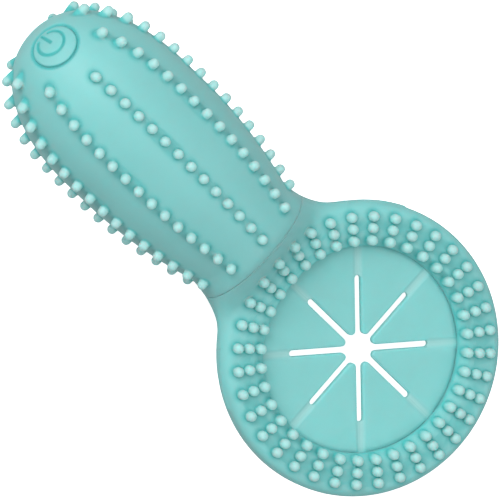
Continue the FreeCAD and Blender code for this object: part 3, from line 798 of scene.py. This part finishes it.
def lamp():
    """Clear, slightly milky lens of the status light."""
    made = Shader("lamp_lens")
    milk = made.noise(900.0)
    stops = [(0.3, (0.80, 0.84, 0.82)), (0.7, (0.93, 0.95, 0.94))]
    made.feed("Base Color", made.ramp(milk, stops))
    made.feed("Roughness", made.spread(milk, 0.08, 0.2))
    made.set(Transmission_Weight=0.4, IOR=1.5)
    return made.material


SKIN_MATERIAL = silicone()
NODE_MATERIALS = {
    "silicone": SKIN_MATERIAL,
    "shell": moulded("white_nylon", (0.74, 0.75, 0.73), 0.5),
    "black_plastic": moulded("black_plastic", (0.018, 0.018, 0.02), 0.4),
    "steel": metal("brushed_steel", (0.60, 0.60, 0.59), 0.32),
    "bronze": metal("sintered_bronze", (0.48, 0.30, 0.13), 0.45),
    "board": circuit_board(),
    "foil": foil(),
    "magnet": metal("ferrite_magnet", (0.07, 0.07, 0.075), 0.5),
    "copper": metal("copper_winding", (0.72, 0.30, 0.13), 0.3),
    "chip": moulded("chip_epoxy", (0.02, 0.02, 0.022), 0.5, 4200.0),
    "lamp": lamp(),
    "lead_red": moulded("lead_sleeving", (0.55, 0.03, 0.025), 0.38),
    "foam": foam(),
    "tungsten": metal("tungsten_alloy", (0.36, 0.36, 0.37), 0.35),
}


def dress(piece, material):
    piece.data.materials.clear()
    piece.data.materials.append(material)


def dress_nodes():
    """Every node carried over from the frame takes the material of its own slot."""
    for part in frame["record"]["subparts"]:
        dress(frame["nodes"][part["node"]], NODE_MATERIALS[part["material_slot"]])


# ---------------------------------------------------------------- stage, light and camera


def make_floor():
    """White ground that glows a little, just under the object."""
    place = (0.0, 0.0, cad_box[0].z - 0.2 * MM)
    bpy.ops.mesh.primitive_plane_add(size=6.0, location=place)
    floor = bpy.context.object
    floor.name = "floor"
    made = Shader("pale_floor")
    stops = [(0.3, (0.93, 0.93, 0.93)), (0.7, (0.95, 0.95, 0.95))]
    made.feed("Base Color", made.ramp(made.noise(3.0), stops))
    made.set(Roughness=0.8, Emission_Color=(1.0, 1.0, 1.0, 1.0), Emission_Strength=0.85)
    dress(floor, made.material)
    floor.visible_diffuse = False
    floor.visible_glossy = False


LIGHT_DISTANCE = 1.0
LIGHT_SIZE = 0.6


def outward(azimuth, elevation):
    """Direction from the object, in degrees; azimuth is measured from +X towards +Y."""
    a, e = math.radians(azimuth), math.radians(elevation)
    return Vector((math.cos(a) * math.cos(e), math.sin(a) * math.cos(e), math.sin(e)))


def area_light(name, azimuth, elevation, power):
    """Soft box that faces the object."""
    out = outward(azimuth, elevation)
    light = bpy.data.lights.new(name, "AREA")
    light.shape = "DISK"
    light.size = LIGHT_SIZE
    light.energy = power
    lamp_object = bpy.data.objects.new(name, light)
    lamp_object.location = out * LIGHT_DISTANCE
    lamp_object.rotation_mode = "QUATERNION"
    lamp_object.rotation_quaternion = (-out).to_track_quat("-Z", "Y")
    bpy.context.scene.collection.objects.link(lamp_object)


def make_light():
    """Even white surroundings, slightly stronger from below, and three soft boxes."""
    world = bpy.data.worlds.new("studio")
    world.use_nodes = True
    tree = world.node_tree
    background = tree.nodes["Background"]
    split = tree.nodes.new("ShaderNodeSeparateXYZ")
    shade_up = tree.nodes.new("ShaderNodeMapRange")
    shade_up.inputs["From Min"].default_value = -0.12
    shade_up.inputs["From Max"].default_value = 0.05
    shade_up.inputs["To Min"].default_value = 0.42
    shade_up.inputs["To Max"].default_value = 0.36
    place = tree.nodes.new("ShaderNodeTexCoord").outputs["Generated"]
    tree.links.new(place, split.inputs["Vector"])
    tree.links.new(split.outputs["Z"], shade_up.inputs["Value"])
    tree.links.new(shade_up.outputs["Result"], background.inputs["Strength"])
    background.inputs["Color"].default_value = (1.0, 1.0, 1.0, 1.0)
    bpy.context.scene.world = world
    area_light("tip_light", 4.0, 30.0, 3.8)
    area_light("key_light", 0.0, 60.0, 4.2)
    area_light("ring_light", 180.0, 62.0, 1.9)
    bpy.context.scene.view_settings.view_transform = "Standard"


CAMERA_AZIMUTH = 23.891
CAMERA_ELEVATION = 68.759
CAMERA_ROLL = math.radians(108.6406)
CAMERA_DISTANCE = 1.101306
CAMERA_LENS = 411.17
CAMERA_TARGET = (SEAM_X - 0.08, 0.98, 0.0)


def make_camera():
    """Looks down on the object from a long way off, turned about its own line of sight."""
    back = outward(CAMERA_AZIMUTH, CAMERA_ELEVATION)
    level_right = (-back).cross(Vector((0.0, 0.0, 1.0))).normalized()
    level_up = level_right.cross(-back)
    right = math.cos(CAMERA_ROLL) * level_right + math.sin(CAMERA_ROLL) * level_up
    up = -math.sin(CAMERA_ROLL) * level_right + math.cos(CAMERA_ROLL) * level_up
    place = Vector(CAMERA_TARGET) * MM + back * CAMERA_DISTANCE
    turn = Matrix((right, up, back)).transposed()
    camera = bpy.data.cameras.new("camera")
    camera.sensor_width = 36.0
    camera.lens = CAMERA_LENS
    camera.clip_start = 0.05
    camera.clip_end = 20.0
    camera_object = bpy.data.objects.new("camera", camera)
    camera_object.matrix_world = Matrix.Translation(place) @ turn.to_4x4()
    bpy.context.scene.collection.objects.link(camera_object)
    bpy.context.scene.camera = camera_object


# ---------------------------------------------------------------- the object, put together

make_camera()
make_light()
make_floor()
dress_nodes()

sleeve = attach(make_sleeve(), "root")
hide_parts("barrel_sleeve")
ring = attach(make_ring(), "root")
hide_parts("ring_body")
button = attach(make_button(), "button")
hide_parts("button_pad")
for skin in [sleeve, ring, button, *make_petals()]:
    dress(skin, SKIN_MATERIAL)
